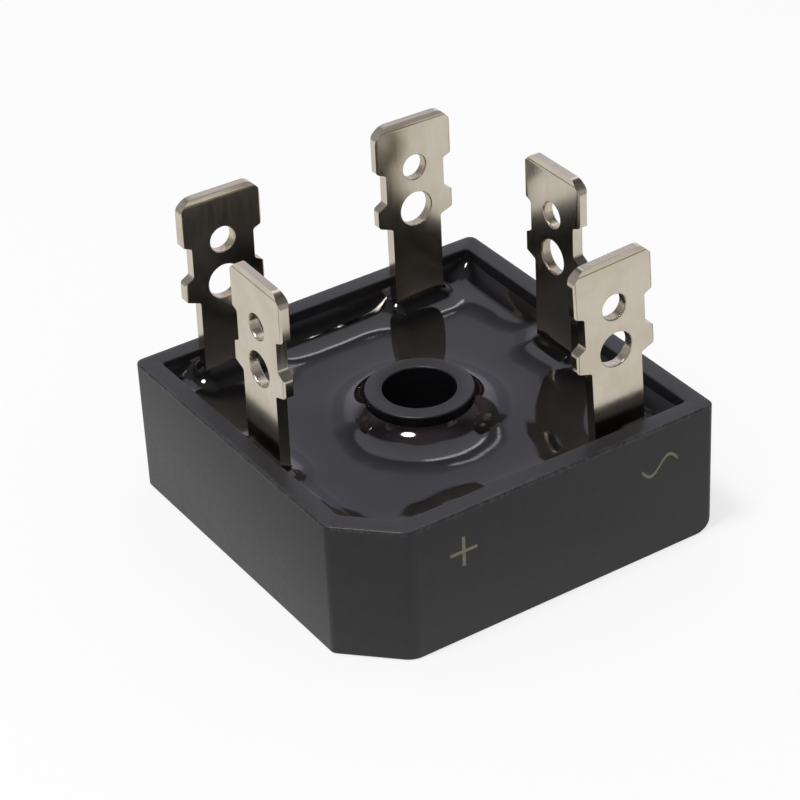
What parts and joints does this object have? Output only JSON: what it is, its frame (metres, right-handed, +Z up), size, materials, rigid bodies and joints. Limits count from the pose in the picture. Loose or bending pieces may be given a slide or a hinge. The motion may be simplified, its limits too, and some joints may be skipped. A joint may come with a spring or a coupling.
{
  "type": "bridge rectifier",
  "caption": "Square potted bridge rectifier module with a cut corner, a centre screw bore and upright blade terminals, cooled through a flat metal base.",
  "frame": {"origin": "on the screw bore's axis, at the underside of the base plate", "axes": "+Z up through the bore towards the terminals' tips, -Y out of the marked long side, -X out of the side with the plus terminal"},
  "size_m": [0.0286, 0.0286, 0.0229],
  "materials": {
    "case_plastic": "matte moulded thermoset, fine texture, charcoal",
    "base_metal": "plain satin, machined flat",
    "insulator_ceramic": "fired alumina, matt white",
    "copper": "bare rolled copper",
    "silicon": "passivated chip, dark grey",
    "tab_nickel": "nickel plate over copper alloy, satin, warm",
    "casting_resin": "cast epoxy, black, high gloss"
  },
  "bodies": {
    "root": {"housing": "case_plastic", "base_plate": "base_metal", "insulator": "insulator_ceramic", "bus_plus": "copper", "bus_minus": "copper", "link_ac_1": "copper", "link_ac_2": "copper", "link_ac_3": "copper", "diode_1": "silicon", "diode_2": "silicon", "diode_3": "silicon", "diode_4": "silicon", "diode_5": "silicon", "diode_6": "silicon", "terminal_plus": "tab_nickel", "terminal_minus": "tab_nickel", "terminal_ac_1": "tab_nickel", "terminal_ac_2": "tab_nickel", "terminal_ac_3": "tab_nickel", "potting": "casting_resin"}
  },
  "joints": []
}
